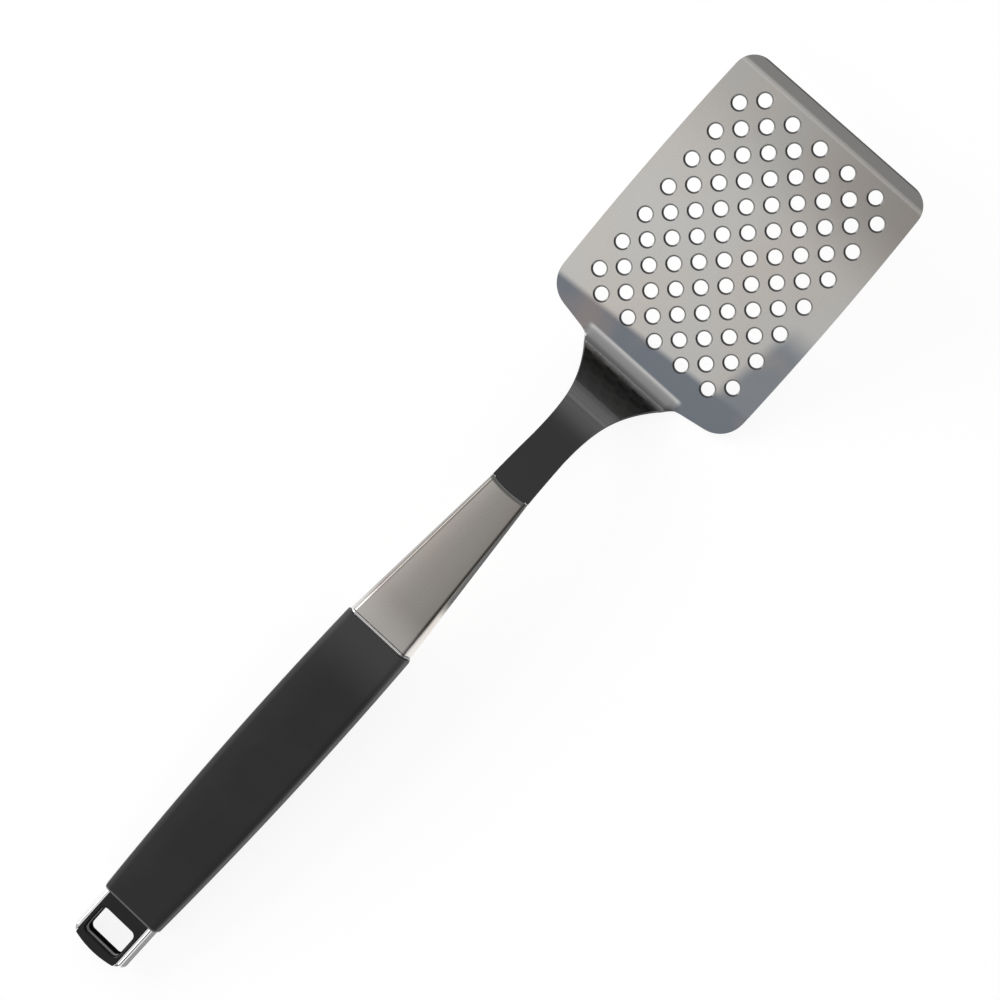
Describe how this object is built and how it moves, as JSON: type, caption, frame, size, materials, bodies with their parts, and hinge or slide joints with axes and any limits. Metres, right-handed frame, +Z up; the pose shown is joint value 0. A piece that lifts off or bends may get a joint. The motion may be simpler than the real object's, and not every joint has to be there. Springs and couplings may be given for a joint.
{
  "type": "grill spatula",
  "caption": "Perforated stainless grill spatula with a cranked neck, hollow steel handle, black moulded grip and a hanging eye in the end.",
  "frame": {"origin": "middle of the footprint at table height, with the spatula lying on its heel and its handle end", "axes": "+X from the handle end to the blade's front edge, +Y across the width, +Z up out of the blade's upper side"},
  "size_m": [0.4298, 0.096, 0.0401],
  "materials": {
    "satin_steel": "satin pressed stainless sheet",
    "brushed_steel": "fine lengthwise brushed stainless",
    "polished_steel": "bright polished stainless",
    "grip_black": "matte black moulded elastomer",
    "gloss_black": "gloss black moulded plastic",
    "nylon": "grey moulded nylon, hidden",
    "rivet_steel": "plain stainless"
  },
  "bodies": {
    "root": {"blade": "satin_steel", "handle_shell_top": "brushed_steel", "handle_shell_bottom": "brushed_steel", "grip_collar": "polished_steel", "grip_sleeve": "grip_black", "hang_insert": "gloss_black", "tang_spacer_top": "nylon", "tang_spacer_bottom": "nylon", "tang_rivet_front": "rivet_steel", "tang_rivet_rear": "rivet_steel", "insert_pin": "rivet_steel"}
  },
  "joints": []
}
